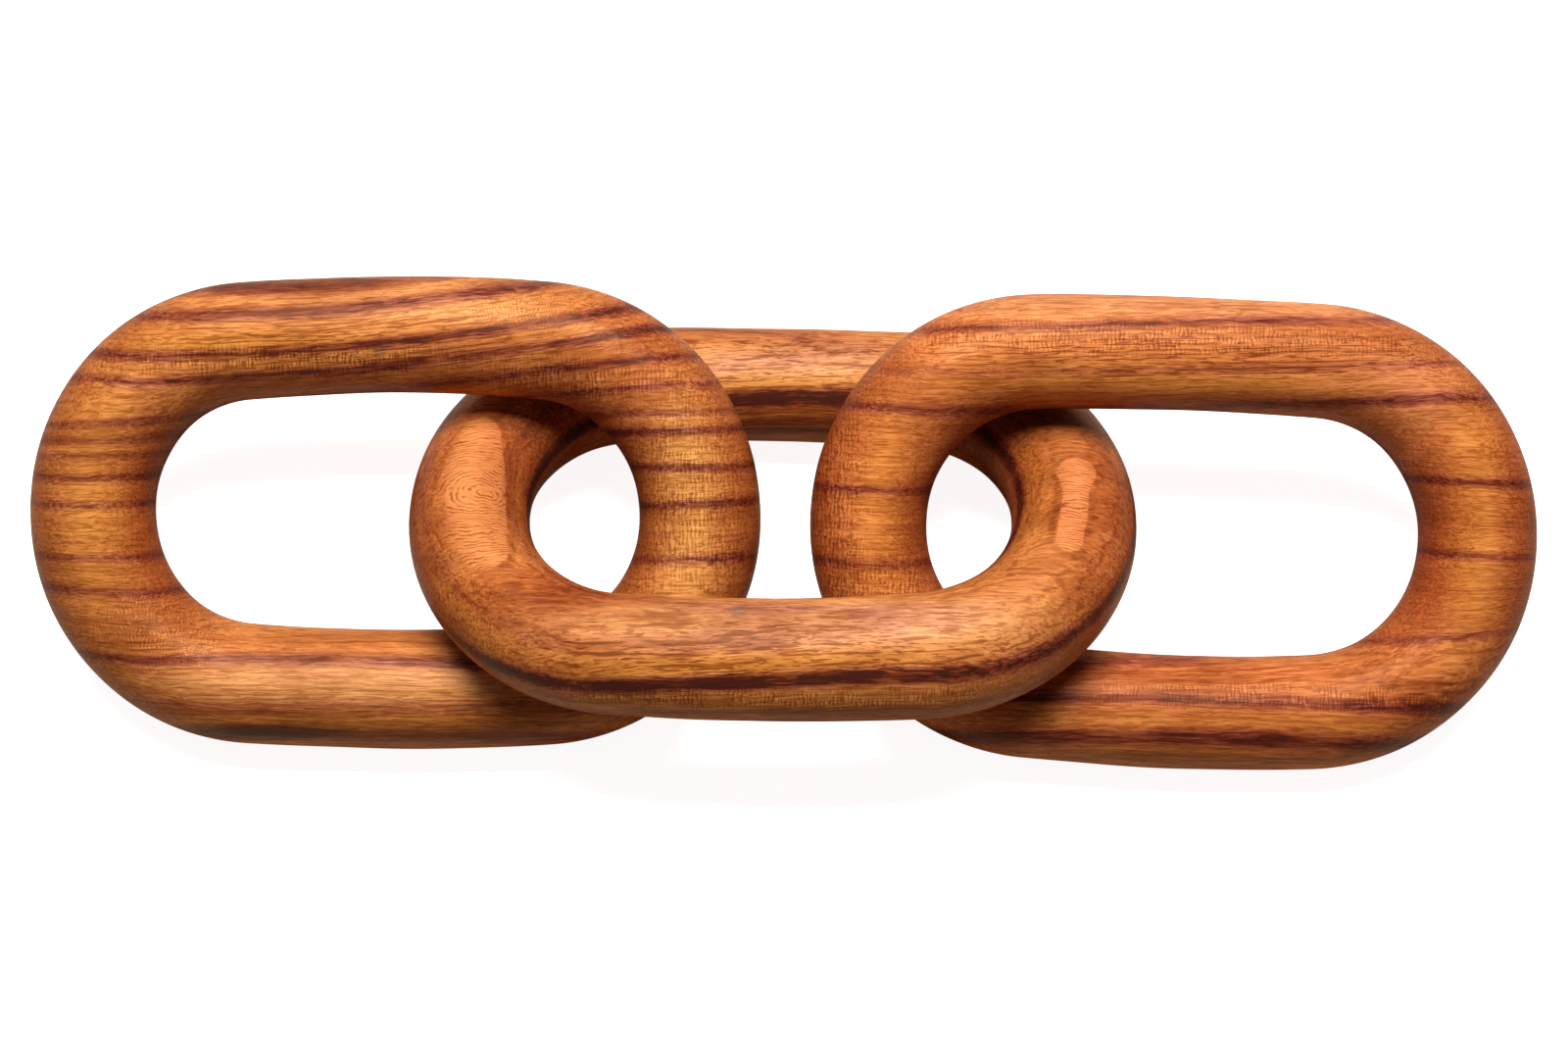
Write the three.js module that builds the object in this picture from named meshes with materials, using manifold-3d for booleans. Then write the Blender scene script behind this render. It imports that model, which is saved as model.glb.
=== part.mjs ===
// Three hand-carved wooden chain links, interlocked and lying loose on a flat surface.
// Millimetres, +Z up. The origin is the middle of the chain's footprint, on the surface.
// +X runs along the chain from the left link to the right link, and +Y points to its back.
//
// Each link is a round bar bent into a long ring and closed on itself. The outer links stand on
// their front bars and lean back over the middle link, which stands on its back bar. Every
// link's underside has a narrow flat where it meets the surface.

import * as THREE from "three";
import { ParametricGeometry } from "three/addons/geometries/ParametricGeometry.js";
import { mergeVertices } from "three/addons/utils/BufferGeometryUtils.js";
import Module from "manifold-3d";

const wasm = await Module();
wasm.setup();

// The shape of each link, in its own plane, and the way it lies.
//   halfStraight  half of the straight run of a side bar's middle line
//   endRadius     radius of the middle line round each end
//   barRadius     radius of the bar's round section
//   stray         carver's waves in the middle line: [waves round the link, height, crest]
//   swell         carver's waves in the bar's radius: [waves round the link, height, crest]
//   place         middle of the link along X and Y
//   tilt          lean about the length, degrees: positive raises the back bar
//   turn          turn about the vertical, degrees
// A crest is measured in degrees round the link from its right-hand tip.
const links = [
  {
    name: "left_link",
    halfStraight: 39.5,
    endRadius: 44.2,
    barRadius: 15.9,
    stray: [[2, 3.1, 94], [3, 0.2, 76], [4, 0.2, 49]],
    swell: [[1, 0.2, 250], [2, 0.3, 0]],
    place: [-102.2, 2.9],
    tilt: 21.8,
    turn: 0.5,
    color: 0xb9733c,
  },
  {
    name: "middle_link",
    halfStraight: 38.8,
    endRadius: 44.8,
    barRadius: 15.9,
    stray: [[2, 3.3, 92], [3, 0.3, 10], [4, 0.3, 44]],
    swell: [[1, 0.3, 345], [2, 0.3, 170]],
    place: [-3.2, 1.8],
    tilt: -22.3,
    turn: -0.3,
    color: 0xae6736,
  },
  {
    name: "right_link",
    halfStraight: 37.4,
    endRadius: 45.4,
    barRadius: 15.2,
    stray: [[2, 2.3, 99], [3, 0.2, 41], [4, 0.1, 55]],
    swell: [[2, 0.2, 169]],
    place: [103.2, -2.6],
    tilt: 22.9,
    turn: -1.3,
    color: 0xb46b39,
  },
];

const restDepth = 0.35; // how much of the underside is taken off to make the flat
const ringSteps = 66; // facets along the middle line
const sectionSides = 24; // facets round the bar
const slope = 1e-3; // step used to find the middle line's direction
const cutterSize = 400; // side of the block that cuts the flat, larger than a link

const radians = THREE.MathUtils.degToRad;

// Sum of a link's waves at an angle round the link.
function waveSum(waves, angle) {
  return waves.reduce((sum, [count, height, crest]) => {
    return sum + height * Math.cos(count * (angle - radians(crest)));
  }, 0);
}

// Point on the middle line of a link, at a share of the way round from its right-hand tip.
// The line is a stadium, two straights joined by two half circles, moved outwards by the waves.
function middlePoint(link, share) {
  const { halfStraight, endRadius, stray } = link;
  const quarter = halfStraight + (endRadius * Math.PI) / 2;
  const halfWay = 2 * quarter;
  const wrapped = THREE.MathUtils.euclideanModulo(share, 1);
  const mirrored = wrapped < 0.5 ? 1 : -1;
  const along = (mirrored > 0 ? wrapped : 1 - wrapped) * 4 * quarter;
  const endArc = (endRadius * Math.PI) / 2;
  const point = new THREE.Vector2();
  const outward = new THREE.Vector2();
  if (along < endArc) {
    const bend = along / endRadius;
    outward.set(Math.cos(bend), Math.sin(bend));
    point.copy(outward).multiplyScalar(endRadius).add(new THREE.Vector2(halfStraight, 0));
  } else if (along < halfWay - endArc) {
    outward.set(0, 1);
    point.set(halfStraight - (along - endArc), endRadius);
  } else {
    const bend = Math.PI - (halfWay - along) / endRadius;
    outward.set(Math.cos(bend), Math.sin(bend));
    point.copy(outward).multiplyScalar(endRadius).add(new THREE.Vector2(-halfStraight, 0));
  }
  point.addScaledVector(outward, waveSum(stray, mirrored * (along / quarter) * (Math.PI / 2)));
  point.y *= mirrored;
  return point;
}

// Surface of a link in its own plane: the round section carried along the middle line, square
// to it, with the swell of the bar at that place.
function linkSurface(link) {
  return (share, around, target) => {
    const middle = middlePoint(link, share);
    const ahead = middlePoint(link, share + slope).sub(middlePoint(link, share - slope)).normalize();
    const radius = link.barRadius + waveSum(link.swell, share * 2 * Math.PI);
    const reach = radius * Math.cos(around * 2 * Math.PI);
    const height = radius * Math.sin(around * 2 * Math.PI);
    target.set(middle.x + ahead.y * reach, middle.y - ahead.x * reach, height);
  };
}

// Closed solid from a geometry whose seams are merged, for cutting.
function solidFrom(geometry) {
  geometry.deleteAttribute("normal");
  geometry.deleteAttribute("uv");
  const merged = mergeVertices(geometry, 1e-4);
  const mesh = new wasm.Mesh({
    numProp: 3,
    vertProperties: new Float32Array(merged.attributes.position.array),
    triVerts: new Uint32Array(merged.index.array),
  });
  return new wasm.Manifold(mesh);
}

// Geometry of a solid, with its own normals.
function geometryFrom(solid) {
  const mesh = solid.getMesh();
  const geometry = new THREE.BufferGeometry();
  geometry.setAttribute("position", new THREE.BufferAttribute(mesh.vertProperties, 3));
  geometry.setIndex(new THREE.BufferAttribute(mesh.triVerts, 1));
  geometry.computeVertexNormals();
  return geometry;
}

// A link turned the way it lies, standing on the surface with its underside cut flat.
function laidLink(link) {
  const ring = new ParametricGeometry(linkSurface(link), ringSteps, sectionSides);
  ring.rotateX(radians(link.tilt));
  ring.rotateZ(radians(link.turn));
  ring.computeBoundingBox();
  ring.translate(0, 0, -ring.boundingBox.min.z - restDepth);
  const below = new THREE.BoxGeometry(cutterSize, cutterSize, cutterSize);
  below.translate(0, 0, -cutterSize / 2);
  return geometryFrom(solidFrom(ring).subtract(solidFrom(below)));
}

// Oiled wood with a satin sheen, in the link's own shade.
function oiledWood(color) {
  return new THREE.MeshStandardMaterial({ color, roughness: 0.42, metalness: 0 });
}

const chain = new THREE.Group();
for (const link of links) {
  const mesh = new THREE.Mesh(laidLink(link), oiledWood(link.color));
  mesh.name = link.name;
  mesh.position.set(link.place[0], link.place[1], 0);
  chain.add(mesh);
}

// The chain's footprint is centred on the origin.
const footprint = new THREE.Box3().setFromObject(chain, true).getCenter(new THREE.Vector3());
for (const mesh of chain.children) {
  mesh.position.x -= footprint.x;
  mesh.position.y -= footprint.y;
}

export default chain;
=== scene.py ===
import math
import bpy
import numpy as np
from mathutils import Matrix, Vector


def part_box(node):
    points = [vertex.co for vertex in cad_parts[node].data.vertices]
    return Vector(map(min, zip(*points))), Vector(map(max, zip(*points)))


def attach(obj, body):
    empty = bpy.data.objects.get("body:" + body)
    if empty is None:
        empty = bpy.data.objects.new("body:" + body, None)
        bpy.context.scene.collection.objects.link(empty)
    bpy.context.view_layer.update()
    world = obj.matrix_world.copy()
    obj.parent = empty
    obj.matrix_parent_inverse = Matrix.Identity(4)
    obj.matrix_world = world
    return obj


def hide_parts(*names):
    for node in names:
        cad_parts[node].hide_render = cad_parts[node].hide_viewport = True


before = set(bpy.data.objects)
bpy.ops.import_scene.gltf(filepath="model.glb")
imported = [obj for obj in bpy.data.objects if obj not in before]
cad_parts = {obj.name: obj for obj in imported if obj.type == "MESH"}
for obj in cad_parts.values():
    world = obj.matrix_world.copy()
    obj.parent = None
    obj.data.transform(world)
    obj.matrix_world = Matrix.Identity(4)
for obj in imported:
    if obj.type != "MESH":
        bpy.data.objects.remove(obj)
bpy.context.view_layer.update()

mm = 0.001

# View: the camera stands in front of the chain and looks steeply down on it
view = {
    "elevation": 72.0,  # degrees above the floor
    "distance": 808 * mm,
    "target": (0.4 * mm, 1.1 * mm, 30 * mm),
    "lens": 69.75,
    "sensor": 36.0,
}


def addCamera(settings):
    data = bpy.data.cameras.new("camera")
    data.lens = settings["lens"]
    data.sensor_width = settings["sensor"]
    camera = bpy.data.objects.new("camera", data)
    bpy.context.collection.objects.link(camera)
    lift = math.radians(settings["elevation"])
    back = Vector((0, -math.cos(lift), math.sin(lift)))
    camera.location = Vector(settings["target"]) + back * settings["distance"]
    camera.rotation_euler = (math.pi / 2 - lift, 0, 0)
    bpy.context.scene.camera = camera


addCamera(view)
bpy.context.scene.view_settings.view_transform = "Standard"
print("camera placed")

# Light: one soft box above and behind, weak fill all round, and a floor that stays pale
light = {
    "keySize": (0.7, 0.55),
    "keyPlace": (0, 0.44, 1.2),
    "keyPower": 27,
    "fill": 0.08,
    "floorColor": (0.9, 0.9, 0.9),
    "floorGlow": 0.9,  # share of the floor's white that no shadow takes away
    "floorBounce": (0.60, 0.46, 0.32),  # what the floor throws back on the wood
    "floorSize": 8.0,
}


def addLight(settings):
    data = bpy.data.lights.new("key", "AREA")
    data.shape = "RECTANGLE"
    data.size, data.size_y = settings["keySize"]
    data.energy = settings["keyPower"]
    key = bpy.data.objects.new("key", data)
    key.location = settings["keyPlace"]
    key.rotation_euler = Vector(settings["keyPlace"]).to_track_quat("Z", "Y").to_euler()
    bpy.context.collection.objects.link(key)
    world = bpy.data.worlds.new("studio")
    bpy.context.scene.world = world
    world.use_nodes = True
    background = world.node_tree.nodes["Background"]
    background.inputs["Color"].default_value = (1, 1, 1, 1)
    background.inputs["Strength"].default_value = settings["fill"]


def addFloor(settings):
    half = settings["floorSize"] / 2
    mesh = bpy.data.meshes.new("floor")
    corners = [(-half, -half, 0), (half, -half, 0), (half, half, 0), (-half, half, 0)]
    mesh.from_pydata(corners, [], [(0, 1, 2, 3)])
    material = bpy.data.materials.new("floor")
    material.use_nodes = True
    tree = material.node_tree
    shader = tree.nodes["Principled BSDF"]
    shader.inputs["Roughness"].default_value = 0.9
    shader.inputs["Emission Color"].default_value = (1, 1, 1, 1)
    seen = tree.nodes.new("ShaderNodeLightPath").outputs["Is Camera Ray"]
    shade = tree.nodes.new("ShaderNodeMix")
    shade.data_type = "RGBA"
    shade.inputs[6].default_value = (*settings["floorBounce"], 1)
    shade.inputs[7].default_value = (*settings["floorColor"], 1)
    glow = tree.nodes.new("ShaderNodeMath")
    glow.operation = "MULTIPLY"
    glow.inputs[1].default_value = settings["floorGlow"]
    tree.links.new(seen, shade.inputs[0])
    tree.links.new(seen, glow.inputs[0])
    tree.links.new(shade.outputs[2], shader.inputs["Base Color"])
    tree.links.new(glow.outputs[0], shader.inputs["Emission Strength"])
    mesh.materials.append(material)
    floor = bpy.data.objects.new("floor", mesh)
    bpy.context.collection.objects.link(floor)


addLight(light)
addFloor(light)
print("light and floor placed")

# Links: shape in mm, the same values as the solids.
# A wave is (count round the link, height, crest in degrees from the right-hand tip).
# A growth line is (height at the left end, middle, right end, darkness, width) in mm, listed
# upwards. It is measured across the outer links' width and across the middle link's thickness.
# A spot is (kind, centre along, across, up, reach along, across, up, strength), in the link's plane.
# A pale patch is (softness of its left edge, its lines in each mm across and along its length,
# a row of circles, each (along, across, radius)).
endPlace = 75.0  # where along a link the outer heights of its growth lines are given
bendStart = 66.0  # where along a link its growth lines bend, by endBend (left, right) mm each mm

leftLink = {
    "node": "left_link",
    "halfStraight": 39.5,
    "endRadius": 44.2,
    "barRadius": 15.9,
    "stray": [(2, 3.1, 94), (3, 0.2, 76), (4, 0.2, 49)],
    "swell": [(1, 0.2, 250), (2, 0.3, 0)],
    "tilt": 21.8,
    "turn": 0.5,
    "layersAcross": "width",
    "endBend": (0.09, -0.07),
    "lineStrength": (0.95, 1.15, 1.4),
    "tint": (1.0, 1.0, 1.0),
    "seed": 0.0,
    "lines": [
        (-80, -80, -80, 0.0, 1.0),
        (-57, -58, -60, 0.6, 1.6),
        (-49, -50, -50, 0.3, 1.4),
        (-37, -38, -43, 0.8, 1.0),
        (-20, -17, -11.3, 0.7, 1.0),
        (-10.8, -4.5, 2.9, 0.75, 0.9),
        (2.9, 7.7, 12.7, 0.75, 0.9),
        (10, 16, 22.2, 0.9, 0.9),
        (15.5, 21.5, 27, 0.5, 0.8),
        (19.5, 27, 34, 0.6, 0.8),
        (23.9, 32.5, 41.5, 0.8, 0.9),
        (35.3, 39.2, 49.3, 0.95, 1.0),
        (42.2, 45.1, 56.2, 1.0, 1.1),
        (53.3, 55, 67.8, 0.95, 1.2),
        (61.2, 61.8, 77, 0.9, 1.5),
        (85, 85, 90, 0.0, 1.0),
    ],
    "spots": [
        ("brown", -22, 61, 6, 28, 3.5, 8, 0.9),
        ("gold", -35, 44, 15, 34, 4, 9, 1.0),
        # gold on both arcs' crowns: golden wood, and partly a painted sheen where the light falls
        ("gold", -76, 6, 15, 9, 32, 10, 0.8),
        ("gold", 77, 5, 15, 9, 40, 9, 0.8),
        ("ladder", -25, 40.5, 14, 50, 4, 8, 1.0),
        ("ladder", 47, 35, 13, 30, 6, 8, 1.0),
        ("ladder", 78, 5, 16, 16, 30, 8, 0.8),
        ("fleck", 37, 53, 14, 16, 5, 8, 1.0),
        ("fleck", -60, -28, 15, 18, 11, 8, 1.0),
        ("red", 70, 44, 8, 22, 20, 15, 0.7),
        ("red", -64, 3, 6, 6, 24, 10, 0.7),
        ("red", -25, -35, 12, 40, 4, 10, 0.25),
        ("pale", -12, -42, 16, 52, 7, 8, 0.9),
        ("brown", -63, -30, 14, 17, 13, 12, 0.4),
        # pale on the right arc's crown: partly a painted golden-white sheen
        ("pale", 77, 5, 15, 9, 36, 9, 0.7),
        ("pale", 0, 56, 12, 40, 5, 8, 0.5),
        ("pores", 0, 46, 16, 60, 9, 12, 0.8),
        ("olive", 0, -54.5, 12, 72, 7, 10, 0.55),
        ("black", -36, -57, 10, 22, 2.4, 7, 1.0),
    ],
    "knots": [(-2, 43.0, 15.5, 1.1)],
    "patches": [],
}

middleLink = {
    "node": "middle_link",
    "halfStraight": 38.8,
    "endRadius": 44.8,
    "barRadius": 15.9,
    "stray": [(2, 3.3, 92), (3, 0.3, 10), (4, 0.3, 44)],
    "swell": [(1, 0.3, 345), (2, 0.3, 170)],
    "tilt": -22.3,
    "turn": -0.3,
    "layersAcross": "thickness",
    "endBend": (0.0, 0.0),
    "lineStrength": (0.6, 1.0, 0.45),
    "tint": (1.0, 1.0, 1.0),
    "seed": 40.0,
    "lines": [
        (-40, -40, -40, 0.0, 1.0),
        (-22, -12, -14, 0.5, 1.0),
        (-11, -2, -4, 0.4, 0.8),
        (0.5, 8.6, 6.5, 3.2, 1.6),
        (12, 15.2, 18, 0.25, 0.8),
        (30, 30, 30, 0.0, 1.0),
    ],
    "spots": [
        ("fleck", -77, -41, 7, 14, 13, 10, 0.8),
        ("gold", -77, -42, 6, 16, 13, 10, 0.7),
        ("red", -56, -38, 15, 24, 9, 9, 1.0),
        ("brown", -58, -37, 15, 16, 7, 9, 0.3),
        ("pale", 8, -47, 15, 60, 8, 8, 1.3),
        ("gold", -5, -59, 9.5, 62, 5, 5, 1.0),
        ("pores", 0, -56, 13, 75, 9, 8, 1.0),
        ("ladder", 0, -62, 3, 78, 8, 3.5, 1.0),
        ("olive", 0, -62, -4, 82, 9, 7, 0.9),
        ("red", 88, -5, 10, 14, 46, 16, 0.8),
        ("red", 70, 23, 12, 26, 14, 14, 0.8),
        ("gold", 67, 0, 12, 6, 24, 10, 0.6),
        ("pale", 6, 42, 15, 44, 7, 6, 0.9),
        ("pores", 6, 42, 13, 55, 13, 12, 1.0),
        ("gold", 0, 36, 10, 42, 4, 4, 0.9),
        ("brown", 0, 32, 2, 48, 6, 6, 0.9),
        ("red", -91, 10, 8, 10, 42, 12, 0.5),
        ("red", -62, 22, 8, 17, 15, 16, 0.9),
    ],
    "knots": [(-8, -44.5, 14.0, 1.6)],
    "patches": [
        (2.6, (0.55, 1.0), [(-77, 15, 5.6), (-77.4, 5, 7.6), (-77.2, -7, 8.4),
                            (-75.6, -18, 7.9), (-72.8, -25.5, 6)]),
        (0.3, (0.3, 1.15), [(80, 1.8, 5.2), (79.4, -5, 3.4), (78.4, -13, 3.6), (76.6, -21.6, 3.6)]),
    ],
}

rightLink = {
    "node": "right_link",
    "halfStraight": 37.4,
    "endRadius": 45.4,
    "barRadius": 15.2,
    "stray": [(2, 2.3, 99), (3, 0.2, 41), (4, 0.1, 55)],
    "swell": [(2, 0.2, 169)],
    "tilt": 22.9,
    "turn": -1.3,
    "layersAcross": "width",
    "endBend": (0.06, -0.07),
    "lineStrength": (1.0, 1.05, 1.1),
    "tint": (1.03, 0.93, 1.0),
    "seed": 80.0,
    "lines": [
        (-80, -80, -80, 0.0, 1.0),
        (-56, -52.3, -54.5, 1.25, 1.7),
        (-42.8, -42.4, -43.5, 1.1, 1.2),
        (-34, -33, -23.5, 0.6, 1.0),
        (-9.2, -6, -2.6, 0.7, 0.9),
        (10, 13.5, 16.7, 0.85, 0.9),
        (31.2, 33.3, 38.5, 0.9, 1.1),
        (41, 43.5, 47, 0.4, 0.8),
        (51.6, 55.8, 58, 0.75, 0.9),
        (80, 80, 80, 0.0, 1.0),
    ],
    "spots": [
        ("pale", -15, 60, 7, 78, 5, 10, 1.0),
        ("ladder", -10, 51.5, 14, 78, 4, 8, 1.0),
        ("pores", 0, 47, 15, 80, 7, 9, 1.0),
        ("gold", -15, 40, 13, 62, 5, 7, 0.8),
        ("red", 66, 44, 12, 21, 17, 15, 0.25),
        ("pale", 62, 42, 14, 18, 12, 10, 0.5),
        ("ladder", -89, 5, 10, 8, 38, 12, 0.9),
        # gold on the left arc's crown: golden wood, and partly a painted sheen where the light falls
        ("gold", -77, 5, 15, 8, 36, 9, 0.8),
        ("ladder", -77, -15, 15, 18, 7, 8, 1.0),
        # gold on the right arc's crown: golden wood, and partly a painted sheen where the light falls
        ("gold", 76, 8, 15, 10, 42, 9, 0.8),
        ("red", 66, 8, 8, 6, 42, 11, 0.8),
        ("red", 90, 5, 10, 8, 46, 15, 0.7),
        ("red", 10, -37, 11, 62, 5, 8, 0.5),
        ("brown", 10, -38, 11, 62, 8, 9, 0.25),
        ("ladder", 25, -41, 15, 62, 3, 7, 1.0),
        ("gold", 15, -49, 15, 62, 5, 7, 0.5),
        ("brown", 10, -49, 13, 62, 5, 9, 0.2),
        ("olive", 8, -58, 9, 62, 5, 9, 0.7),
        ("brown", 67, -41, 13, 14, 8, 9, 0.7),
    ],
    "knots": [],
    "patches": [],
}

links = [leftLink, middleLink, rightLink]

mesh = {
    "stepsRound": 480,
    "stepsSection": 112,
    "restDepth": 0.35,  # the flat that each link lies on
    "slope": 1e-3,
    "unevenness": [(5, 1, 0.06, 20), (9, -2, 0.04, 75), (14, 3, 0.03, 130), (3, 2, 0.06, 200)],
}


# A sum of cosines, each with its own count, height and crest.
def waveSum(waves, angle):
    total = np.zeros_like(angle)
    for count, height, crest in waves:
        total += height * np.cos(count * (angle - math.radians(crest)))
    return total


# Middle line: a stadium, two straights joined by two half circles, each point moved outwards by
# the waves. share runs from 0 to 1 from the right-hand tip.
def middleLine(link, share):
    half, radius = link["halfStraight"], link["endRadius"]
    endArc = radius * math.pi / 2
    along = np.mod(share, 1.0) * 4 * (half + endArc)
    topStart, leftStart = endArc, endArc + 2 * half
    bottomStart, rightStart = 3 * endArc + 2 * half, 3 * endArc + 4 * half
    pieces = [along < topStart, along < leftStart, along < bottomStart, along < rightStart]
    quarter = math.pi / 2
    bends = [along / radius, quarter, quarter + (along - leftStart) / radius, 3 * quarter]
    bend = np.select(pieces, bends, 3 * quarter + (along - rightStart) / radius)
    centres = [half, half - (along - topStart), -half, (along - bottomStart) - half]
    centre = np.select(pieces, centres, half)
    reach = radius + waveSum(link["stray"], share * 2 * math.pi)
    return np.stack([centre + reach * np.cos(bend), reach * np.sin(bend)], -1)


# Surface of a link in its own plane: a circle carried along the middle line and square to it,
# its radius swelling with the waves and with a carver's small unevenness. Returns a grid of
# points (steps round the link, steps round the bar) and how far each faces along the fibres,
# which darkens real end grain and also paints shade on the arcs' left and right sides.
def linkGrid(link):
    share = np.arange(mesh["stepsRound"]) / mesh["stepsRound"]
    turn = np.arange(mesh["stepsSection"]) / mesh["stepsSection"] * 2 * math.pi
    middle = middleLine(link, share)
    ahead = middleLine(link, share + mesh["slope"]) - middleLine(link, share - mesh["slope"])
    ahead /= np.linalg.norm(ahead, axis=1)[:, None]
    angle = share * 2 * math.pi
    radius = (link["barRadius"] + waveSum(link["swell"], angle))[:, None]
    for countRound, countBar, height, crest in mesh["unevenness"]:
        phase = countRound * angle[:, None] + countBar * turn[None, :]
        radius = radius + height * np.cos(phase + math.radians(crest + link["seed"]))
    reach = radius * np.cos(turn)
    points = np.empty((*reach.shape, 3))
    points[..., 0] = middle[:, 0, None] + ahead[:, 1, None] * reach
    points[..., 1] = middle[:, 1, None] - ahead[:, 0, None] * reach
    points[..., 2] = radius * np.sin(turn)
    endGrainAndSideShade = np.abs(ahead[:, 1, None] * np.cos(turn))
    return points, endGrainAndSideShade


# The link as it lies: tilted about its length, turned about the vertical, then moved so that
# its box sits on the box of its solid, and flat where it would reach below the floor.
def layDown(link, points):
    tilt, turn = math.radians(link["tilt"]), math.radians(link["turn"])
    y = points[..., 1] * math.cos(tilt) - points[..., 2] * math.sin(tilt)
    z = points[..., 1] * math.sin(tilt) + points[..., 2] * math.cos(tilt)
    x = points[..., 0] * math.cos(turn) - y * math.sin(turn)
    y = points[..., 0] * math.sin(turn) + y * math.cos(turn)
    low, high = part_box(link["node"])
    laid = np.stack([x, y, z], -1)
    flat = laid.reshape(-1, 3)
    middle = (flat.min(0) + flat.max(0)) / 2
    laid[..., 0] += (low[0] + high[0]) / 2 / mm - middle[0]
    laid[..., 1] += (low[1] + high[1]) / 2 / mm - middle[1]
    laid[..., 2] += -flat[:, 2].min() - mesh["restDepth"]
    laid[..., 2] = np.maximum(laid[..., 2], 0)
    return laid


# Growth: between two neighbouring growth lines the index climbs by one. Each line's height is
# a parabola through its three given heights, plus a slope past the start of each end bend.
# Returns the index, the spacing of the two lines, the depth (the height that the same layer has
# at the middle of the link), and the darkness and width of the nearer line.
def growth(link, points):
    lines = np.array(link["lines"])
    part = points[..., 0] / endPlace
    height = points[..., 1] if link["layersAcross"] == "width" else points[..., 2]
    for side, slope in zip((-1, 1), link["endBend"]):
        height = height - slope * np.maximum(side * points[..., 0] - bendStart, 0)
    places = []
    for left, centre, right, _, _ in lines:
        places.append(centre + (right - left) / 2 * part + ((left + right) / 2 - centre) * part**2)
    index = np.zeros_like(height)
    spacing = np.zeros_like(height)
    for below, above in zip(places[:-1], places[1:]):
        share = (height - below) / (above - below)
        index += np.clip(share, 0, 1)
        spacing += np.where((share >= 0) & (share < 1), above - below, 0)
    order = np.arange(len(lines))
    depth = np.interp(index, order, lines[:, 1])
    darkness = np.interp(index, order, lines[:, 3])
    darkness *= np.interp(part, (-1, 0, 1), link["lineStrength"])
    width = np.interp(index, order, lines[:, 4])
    return index, spacing, depth, darkness, width


# Strength of the spots of one kind: each a soft ellipsoid, 1 at its centre and near 0 past its
# reach, the greatest of them counting.
def spotStrength(link, kind, points):
    strength = np.zeros(points.shape[:-1])
    for name, *values in link["spots"]:
        if name == kind:
            centre, reach = np.array(values[:3]), np.array(values[3:6])
            away = (((points - centre) / reach) ** 2).sum(-1)
            strength = np.maximum(strength, values[6] * np.exp(-(away**1.5)))
    return strength


# Signed distance in mm to the link's pale patches, positive inside: a row of circles joined by
# straight sides, on the upper side only. Returns it with the width in mm that its edge fades over
# and the number of the nested line there, an ellipse's count from the middle of the patch.
def patchDistance(link, points):
    inside = np.full(points.shape[:-1], -20.0)
    softness = np.full(points.shape[:-1], 0.3)
    nest = np.zeros(points.shape[:-1])
    for softLeft, counts, circles in link["patches"]:
        first, last = np.array(circles[0][:2]), np.array(circles[-1][:2])
        axis = (last - first) / np.linalg.norm(last - first)
        away = points[..., :2] - (first + last) / 2
        beside, lengthwise = away @ np.array((-axis[1], axis[0])), away @ axis
        lineNumber = np.hypot(beside * counts[0], lengthwise * counts[1])
        for start, end in zip(circles[:-1], circles[1:]):
            from_, to = np.array(start[:2]), np.array(end[:2])
            run = to - from_
            share = np.clip(((points[..., :2] - from_) @ run) / (run @ run), 0, 1)
            aside = points[..., :2] - from_ - share[..., None] * run
            depth = start[2] + (end[2] - start[2]) * share - np.linalg.norm(aside, axis=-1)
            leftness = np.clip(-aside[..., 0] / start[2], 0, 1)
            softness = np.where(depth > inside, 0.3 + (softLeft - 0.3) * leftness, softness)
            nest = np.where(depth > inside, lineNumber, nest)
            inside = np.maximum(inside, depth)
    return np.where(points[..., 2] > 0, inside, -20.0), softness, nest


def addAttribute(data, name, *values):
    attribute = data.attributes.new(name, "FLOAT_VECTOR", "POINT")
    packed = np.stack(values, -1)
    attribute.data.foreach_set("vector", np.ascontiguousarray(packed, dtype=np.float32).ravel())


# Closed grid: neighbouring points make quads, and both directions wrap round.
def gridFaces(rows, columns):
    row, column = np.meshgrid(np.arange(rows), np.arange(columns), indexing="ij")
    nextRow, nextColumn = (row + 1) % rows, (column + 1) % columns
    corners = [row * columns + column, nextRow * columns + column,
               nextRow * columns + nextColumn, row * columns + nextColumn]
    return np.stack(corners, -1).reshape(-1, 4)


def addLink(link, material):
    points, endGrainAndSideShade = linkGrid(link)
    laid = layDown(link, points) * mm
    faces = gridFaces(*endGrainAndSideShade.shape)
    data = bpy.data.meshes.new(link["node"] + "_wood")
    data.from_pydata(laid.reshape(-1, 3).tolist(), [], faces.tolist())
    data.polygons.foreach_set("use_smooth", np.ones(len(faces), dtype=bool))
    index, spacing, depth, darkness, width = growth(link, points)
    across = points[..., 2] if link["layersAcross"] == "width" else points[..., 1]
    spot = {kind: spotStrength(link, kind, points) for kind in spotKinds}
    addAttribute(data, "timber", points[..., 0] + link["seed"], depth, across)
    addAttribute(data, "rings", index, spacing, darkness)
    addAttribute(data, "tones", spot["olive"], spot["red"], spot["gold"])
    addAttribute(data, "shades", spot["pale"], spot["brown"], spot["black"])
    addAttribute(data, "figure", spot["pores"], spot["ladder"], spot["fleck"])
    patch, softness, nest = patchDistance(link, points)
    addAttribute(data, "marks", width, endGrainAndSideShade, spacing)
    addAttribute(data, "patches", patch, softness, nest)
    data.materials.append(material)
    wood = bpy.data.objects.new(link["node"] + "_wood", data)
    bpy.context.collection.objects.link(wood)
    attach(wood, "root")
    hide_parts(link["node"])
    print(link["node"], "made,", len(faces), "faces")
    return wood


spotKinds = ["olive", "red", "gold", "pale", "brown", "black", "pores", "ladder", "fleck"]

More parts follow.
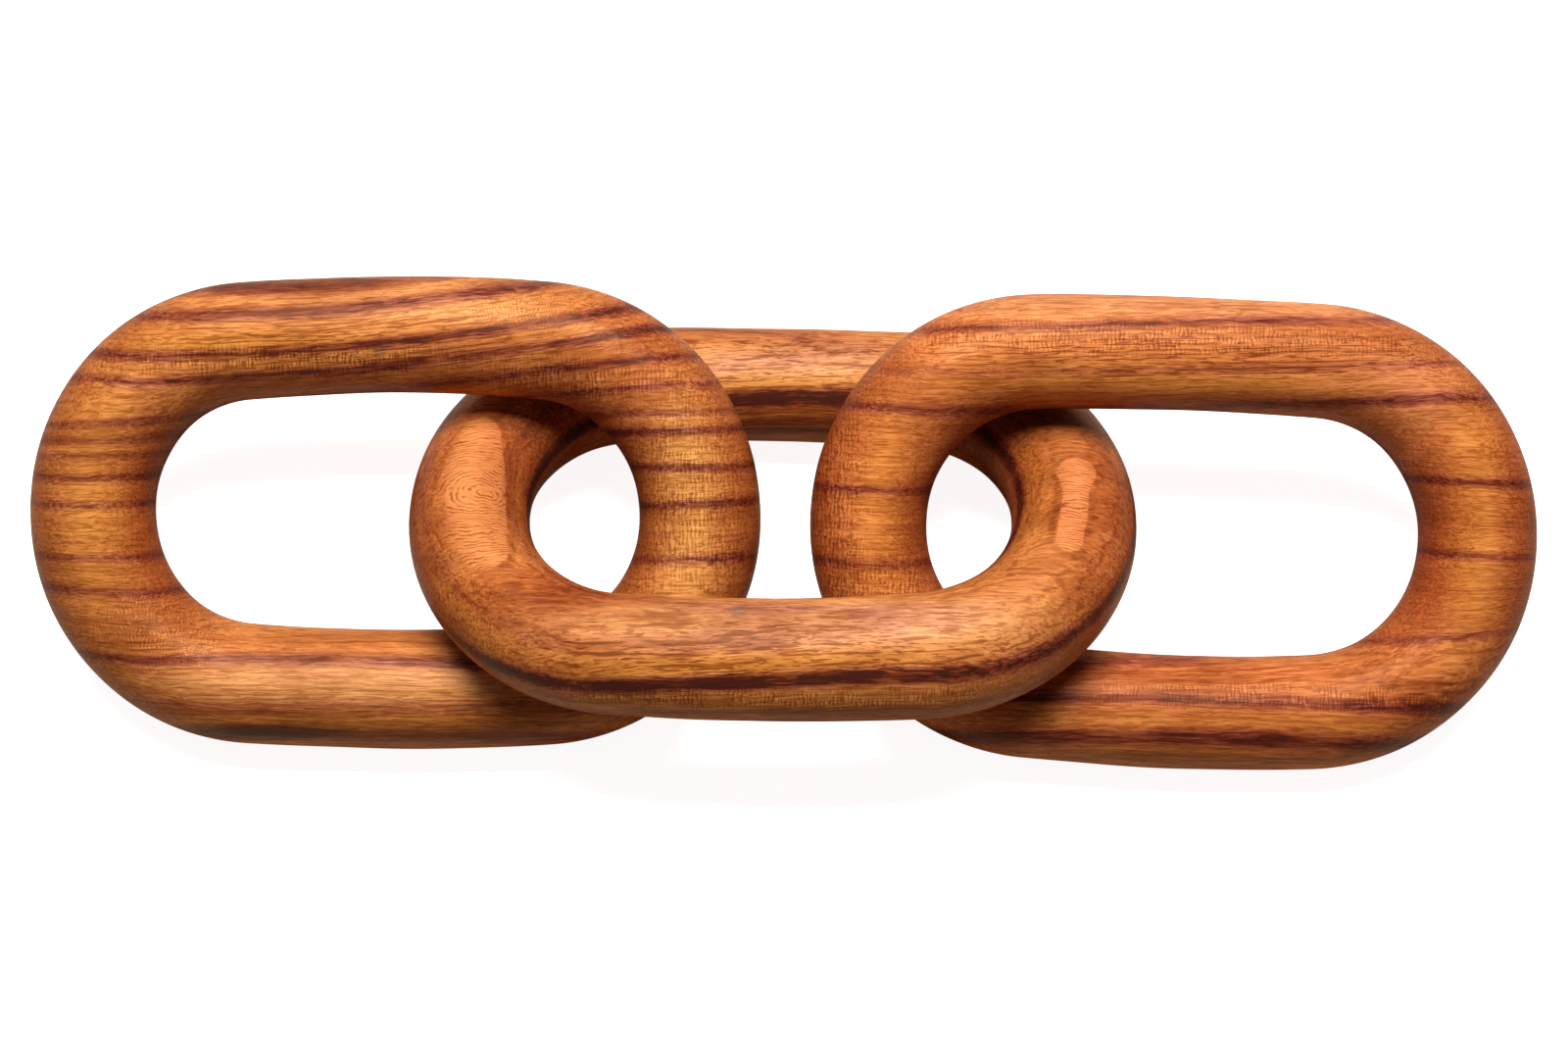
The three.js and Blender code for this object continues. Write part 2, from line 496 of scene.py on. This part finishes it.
# Wood: its colour, and how the named areas, lines and pores change it. A tone is a natural
# logarithm of brightness: -0.7 halves it. Green and blue follow it faster than red does, so dark
# wood is redder. Sizes are in mm.
wood = {
    "colour": (0.52, 0.172, 0.042),
    "follow": (1.0, 1.42, 1.7),
    "areas": {  # tone, and tint of the full strength
        "gold": (0.10, (1.0, 1.06, 0.72)),
        "pale": (0.20, (1.0, 1.20, 1.65)),
        "red": (-0.20, (1.0, 0.84, 0.95)),
        "brown": (-0.70, (1.0, 0.95, 1.0)),
        "olive": (-0.55, (0.97, 1.10, 0.80)),
        "black": (-1.50, (0.75, 1.25, 1.9)),
    },
    "brightest": 0.42,  # no tone is above this, and no colour part below these
    "darkest": (-2.2, -2.6, -2.3),
    "line": (-0.68, (0.97, 0.92, 2.3)),  # a growth line of darkness 1
    "lineCore": -0.65,
    "lineWidth": 1.25,
    "lineWander": 1.3,
    "lineJag": 2.6,
    "pore": -1.05,
    "fineSpacing": 1.35,
    "ladderSpacing": 1.1,
    "ladder": 0.75,
    "silk": 0.12,
    "fleckSpacing": 0.9,
    "fleck": 0.30,
    "patch": (0.27, (1.0, 0.98, 1.1)),
    "patchBend": 4.5,
    "patchLine": -0.8,
    "patchRim": -0.2,
    "knotHalo": (0.55, 0.75, 1.0),
    "knotHeart": (0.3, 0.4, 0.6),
    # darker and redder where the surface faces along the fibres: real end grain, and partly painted
    # shade on the arcs' left and right sides
    "endGrainAndSideShade": (-0.42, -0.62, -0.68),
    "wave": (0.0, 2.4, 2.4),  # how far the fibres wander
    "ripple": (0.0, 0.8, 0.8),
    "roughness": 0.42,
    "ior": 1.32,
    "specular": 0.5,
    "specularTint": (1.0, 0.5, 0.22),
    "coat": 0.02,
    "coatRoughness": 0.3,
}


# Small helper that adds nodes and links them, so that a material reads as a list of steps.
class Nodes:
    def __init__(self, tree):
        self.tree = tree

    def add(self, kind, inputs=None, **values):
        node = self.tree.nodes.new(kind)
        for name, value in values.items():
            setattr(node, name, value)
        for name, value in (inputs or {}).items():
            self.plug(node.inputs[name], value)
        return node

    def plug(self, socket, value):
        if isinstance(value, bpy.types.NodeSocket):
            self.tree.links.new(value, socket)
        elif isinstance(value, tuple) and len(value) == 3 and socket.type == "RGBA":
            socket.default_value = (*value, 1)
        else:
            socket.default_value = value

    def math(self, operation, a, b=0.0, c=0.0, clamp=False):
        node = self.add("ShaderNodeMath", {0: a, 1: b, 2: c}, operation=operation, use_clamp=clamp)
        return node.outputs[0]

    def times(self, *values):
        result = values[0]
        for value in values[1:]:
            result = self.math("MULTIPLY", result, value)
        return result

    def plus(self, *values):
        result = values[0]
        for value in values[1:]:
            result = self.math("ADD", result, value)
        return result

    def vector(self, operation, a, b):
        return self.add("ShaderNodeVectorMath", {0: a, 1: b}, operation=operation)

    def stretch(self, vector, scale, shift=(0.0, 0.0, 0.0)):
        inputs = {"Vector": vector, "Scale": scale, "Location": shift}
        return self.add("ShaderNodeMapping", inputs).outputs[0]

    def noise(self, vector, scale, shift=(0.0, 0.0, 0.0), detail=2.0, roughness=0.55, output="Fac"):
        inputs = {"Vector": self.stretch(vector, scale, shift), "Scale": 1.0, "Detail": detail,
                  "Roughness": roughness}
        return self.add("ShaderNodeTexNoise", inputs).outputs[output]

    def sway(self, *noise, **settings):  # noise from -0.5 to 0.5
        return self.math("SUBTRACT", self.noise(*noise, **settings), 0.5)

    def drift(self, vector, reach, *noise):  # vector moved by coloured noise
        colour = self.noise(vector, *noise, detail=1.0, output="Color")
        moved = self.vector("SUBTRACT", colour, (0.5, 0.5, 0.5)).outputs[0]
        moved = self.vector("MULTIPLY", moved, reach).outputs[0]
        return self.vector("ADD", vector, moved).outputs[0]

    def ramp(self, value, low, high, start=0.0, end=1.0):
        inputs = {"Value": value, "From Min": low, "From Max": high, "To Min": start, "To Max": end}
        node = self.add("ShaderNodeMapRange", inputs, interpolation_type="SMOOTHSTEP")
        return node.outputs[0]

    def mix(self, factor, a, b, blend="MIX"):
        node = self.add("ShaderNodeMix", data_type="RGBA", blend_type=blend)
        self.plug(node.inputs[0], factor)
        self.plug(node.inputs[6], a)
        self.plug(node.inputs[7], b)
        return node.outputs[2]

    def scaled(self, colour, share, change):  # colour times 1 + share * change
        parts = {i: self.plus(self.times(share, part), 1.0) for i, part in enumerate(change)}
        return self.mix(1.0, colour, self.add("ShaderNodeCombineColor", parts).outputs[0], "MULTIPLY")

    def tinted(self, colour, share, tint):  # colour times tint, by share
        return self.mix(share, colour, self.mix(1.0, colour, tint, "MULTIPLY"))

    def parts(self, name):
        attribute = self.add("ShaderNodeAttribute", attribute_name=name)
        split = self.add("ShaderNodeSeparateXYZ", {0: attribute.outputs["Vector"]})
        return attribute.outputs["Vector"], split.outputs


# Ground tone: the sum of clouds, layers, streaks and fine fibres, each a noise stretched along
# the fibres, and of the link's named areas.
def groundTone(make, fibres, streak, areas):
    cloud = make.sway(fibres, (0.025, 0.07, 0.07), (31, 17, 3))
    layer = make.sway(fibres, (0.006, 0.42, 0.06), (9, 1, 4), detail=2.0, roughness=0.6)
    fine = make.sway(fibres, (0.13, 2.3, 2.0), (4, 4, 4), detail=2.0, roughness=0.6)
    tone = make.plus(make.times(cloud, 1.0), make.times(layer, 0.8), make.times(streak, 0.65),
                     make.times(fine, 1.1))
    for name, strength in areas.items():
        tone = make.plus(tone, make.times(strength, wood["areas"][name][0]))
    return tone, fine


# Growth lines: a soft dark band, exp(-s^2) of the distance s in widths, the distance wandering
# and frayed by the fibres, and darker fibres in it. Returns the band's strength and its tone.
def growthLines(make, fibres, rings, width):
    index, spacing, darkness = rings
    away = make.times(make.math("SUBTRACT", index, make.math("ROUND", index)), spacing)
    wander = make.sway(fibres, (0.03, 0.07, 0.07), (3, 9, 1))
    jag = make.sway(fibres, (0.22, 1.9, 1.5), (5, 1, 8), detail=3.0, roughness=0.75)
    away = make.plus(away, make.times(wander, wood["lineWander"]), make.times(jag, wood["lineJag"]))
    share = make.math("DIVIDE", away, make.times(width, wood["lineWidth"]))
    band = make.math("EXPONENT", make.times(share, share, -1.0))
    patchy = make.noise(fibres, (0.06, 0.02, 0.1), (2, 2, 2))
    strength = make.times(darkness, band, make.ramp(patchy, 0.35, 0.55, 0.65, 1.1))
    core = make.times(strength, make.ramp(make.sway(fibres, (0.10, 1.7, 1.5), (1, 7, 7)), 0.04, -0.06))
    tone = make.plus(make.times(strength, wood["line"][0]), make.times(core, wood["lineCore"]))
    return strength, tone


# Thin wavy lines along the layers, one each spacing of depth, broken by a noise.
def fineLines(make, fibres, depth):
    sway = make.sway(fibres, (0.03, 0.16, 0.14), (2, 7, 7))
    phase = make.plus(make.times(depth, 2 * math.pi / wood["fineSpacing"]), make.times(sway, 14.0))
    line = make.ramp(make.math("SINE", phase), 0.45, 0.95)
    return make.times(line, make.ramp(make.noise(fibres, (0.07, 0.7, 0.6), (1, 3, 9)), 0.56, 0.46))


# Pores: dark dashes where a noise, long along the fibres, is low.
def poreDashes(make, fibres, scale, share):
    dash = make.noise(fibres, scale, (6, 2, 6), detail=1.5, roughness=0.6)
    return make.ramp(dash, share + 0.02, share - 0.03)


# Figure across the fibres: ladder rungs, a sine of the length kept to rows, and curly flecks, a
# sine of the length bent by a noise. Returns a tone above or below 0.
def woodFigure(make, timber, along, figure, endGrainAndSideShade):
    _, ladder, fleck = figure
    jitter = make.sway(timber, (0.7, 0.28, 0.28), (11, 5, 2), detail=1.0)
    rung = make.plus(make.times(along, 2 * math.pi / wood["ladderSpacing"]), make.times(jitter, 14.0))
    rung = make.plus(make.math("SINE", rung), make.times(jitter, 3.0))
    rung = make.ramp(rung, -0.5, 0.5, 0.35, -0.6)
    row = make.ramp(make.noise(timber, (0.16, 0.55, 0.55), (20, 2, 9)), 0.40, 0.56)
    silk = make.times(make.ramp(endGrainAndSideShade, 0.2, 0.7), wood["silk"])
    rung = make.times(rung, make.plus(make.times(ladder, row), silk), wood["ladder"])
    bend = make.sway(timber, (0.22, 0.30, 0.45), (1, 12, 2), detail=1.0)
    curl = make.plus(make.times(along, 2 * math.pi / wood["fleckSpacing"]), make.times(bend, 26.0))
    broken = make.ramp(make.noise(timber, (0.5, 0.6, 0.6), (8, 8, 3)), 0.38, 0.56)
    curl = make.times(make.math("SINE", curl), broken, fleck, wood["fleck"])
    return make.plus(rung, curl)


# Pale patches: nested lines, a sine of their number bent by a noise, some of them darker.
# Returns cover, rim and tone.
def palePatch(make, timber, patches, jag):
    distance, softness, nest = patches
    edge = make.plus(distance, make.times(jag, 0.5))
    bend = make.times(make.sway(timber, (0.12, 0.4, 0.16), (8, 3, 3), detail=3.0), wood["patchBend"])
    line = make.math("SINE", make.times(make.plus(nest, bend), 2 * math.pi))
    broken = make.ramp(make.noise(timber, (0.16, 0.5, 0.9), (1, 1, 6)), 0.60, 0.38, 0.15, 1.0)
    tone = make.times(make.ramp(line, -0.2, 1.0), broken, wood["patchLine"])
    cover = make.ramp(make.math("DIVIDE", edge, softness), -0.8, 0.9)
    rim = make.plus(edge, 1.0)
    rim = make.times(make.math("EXPONENT", make.times(rim, rim, -0.8)), make.ramp(softness, 1.0, 0.3))
    return cover, rim, make.plus(tone, wood["patch"][0])


def knotSpots(make, colour, timber, link):
    for x, y, z, radius in link["knots"]:
        rows = (y, z) if link["layersAcross"] == "width" else (z, y)
        centre = (x + link["seed"], *rows)
        apart = make.vector("DISTANCE", timber, centre).outputs["Value"]
        halo = make.ramp(apart, radius * 2.2, radius, 0, 0.8)
        colour = make.tinted(colour, halo, wood["knotHalo"])
        colour = make.tinted(colour, make.ramp(apart, radius * 0.6, radius * 0.2), wood["knotHeart"])
    return colour


def oiledWood(name, link):
    material = bpy.data.materials.new(name)
    material.use_nodes = True
    shader = material.node_tree.nodes["Principled BSDF"]
    make = Nodes(material.node_tree)
    timber, (along, depth, _) = make.parts("timber")
    _, rings = make.parts("rings")
    _, (olive, red, gold) = make.parts("tones")
    _, (pale, brown, black) = make.parts("shades")
    _, figure = make.parts("figure")
    _, (width, endGrainAndSideShade, _) = make.parts("marks")
    _, patches = make.parts("patches")
    fibres = make.drift(timber, wood["wave"], (0.035, 0.09, 0.09))
    fibres = make.drift(fibres, wood["ripple"], (0.13, 0.35, 0.35), (5, 5, 5))
    streak = make.sway(fibres, (0.035, 1.1, 1.0), (2, 6, 4), detail=3.0, roughness=0.65)
    uneven = make.ramp(streak, 0.18, -0.15, 0.45, 1.25)
    areas = {"gold": gold, "pale": pale, "red": make.times(red, uneven),
             "brown": make.times(brown, uneven), "olive": make.times(olive, uneven),
             "black": make.times(black, uneven)}

    tone, fine = groundTone(make, fibres, streak, areas)
    lineShare, lineTone = growthLines(make, fibres, rings, width)
    lines = make.times(fineLines(make, fibres, depth), 0.85)
    longPores = make.times(poreDashes(make, fibres, (0.11, 1.5, 1.3), 0.39), 0.8)
    finePores = make.times(poreDashes(make, fibres, (0.24, 2.5, 2.2), 0.41), 0.65)
    pores = make.math("MAXIMUM", lines, make.math("MAXIMUM", longPores, finePores))
    pores = make.times(pores, make.ramp(figure[0], 0, 1, 0.45, 0.9))
    tone = make.plus(tone, lineTone, make.times(pores, wood["pore"]),
                     woodFigure(make, timber, along, figure, endGrainAndSideShade))
    cover, rim, patchTone = palePatch(make, timber, patches, fine)
    calm = make.math("SUBTRACT", 1.0, make.times(cover, 0.75))
    tone = make.plus(make.times(tone, calm), make.times(patchTone, cover),
                     make.times(rim, wood["patchRim"]))

    tone = make.math("SMOOTH_MIN", tone, wood["brightest"], 0.3)
    shares = []
    for follow, darkest in zip(wood["follow"], wood["darkest"]):
        part = make.math("MAXIMUM", make.times(tone, follow), darkest)
        shares.append(make.math("EXPONENT", part))
    brightness = make.add("ShaderNodeCombineColor", dict(enumerate(shares))).outputs[0]
    base = tuple(part * tint for part, tint in zip(wood["colour"], link["tint"]))
    colour = make.mix(1.0, brightness, base, "MULTIPLY")
    for area, strength in areas.items():
        colour = make.tinted(colour, strength, wood["areas"][area][1])
    colour = make.tinted(colour, lineShare, wood["line"][1])
    colour = make.tinted(colour, cover, wood["patch"][1])
    colour = knotSpots(make, colour, timber, link)
    # end grain darkening, partly painted shade on the arcs' left and right sides
    colour = make.scaled(colour, endGrainAndSideShade, wood["endGrainAndSideShade"])

    height = make.math("SUBTRACT", make.times(fine, 0.6), pores)
    bump = make.add("ShaderNodeBump", {"Height": height, "Strength": 0.3, "Distance": 0.08 * mm})
    rough = make.ramp(streak, -0.3, 0.3, wood["roughness"] + 0.06, wood["roughness"] - 0.05)
    make.plug(shader.inputs["Base Color"], colour)
    make.plug(shader.inputs["Roughness"], rough)
    make.plug(shader.inputs["Normal"], bump.outputs[0])
    shader.inputs["IOR"].default_value = wood["ior"]
    shader.inputs["Specular IOR Level"].default_value = wood["specular"]
    shader.inputs["Specular Tint"].default_value = (*wood["specularTint"], 1)
    shader.inputs["Coat Weight"].default_value = wood["coat"]
    shader.inputs["Coat Roughness"].default_value = wood["coatRoughness"]
    return material


for link in links:
    addLink(link, oiledWood(link["node"] + "_oiled", link))
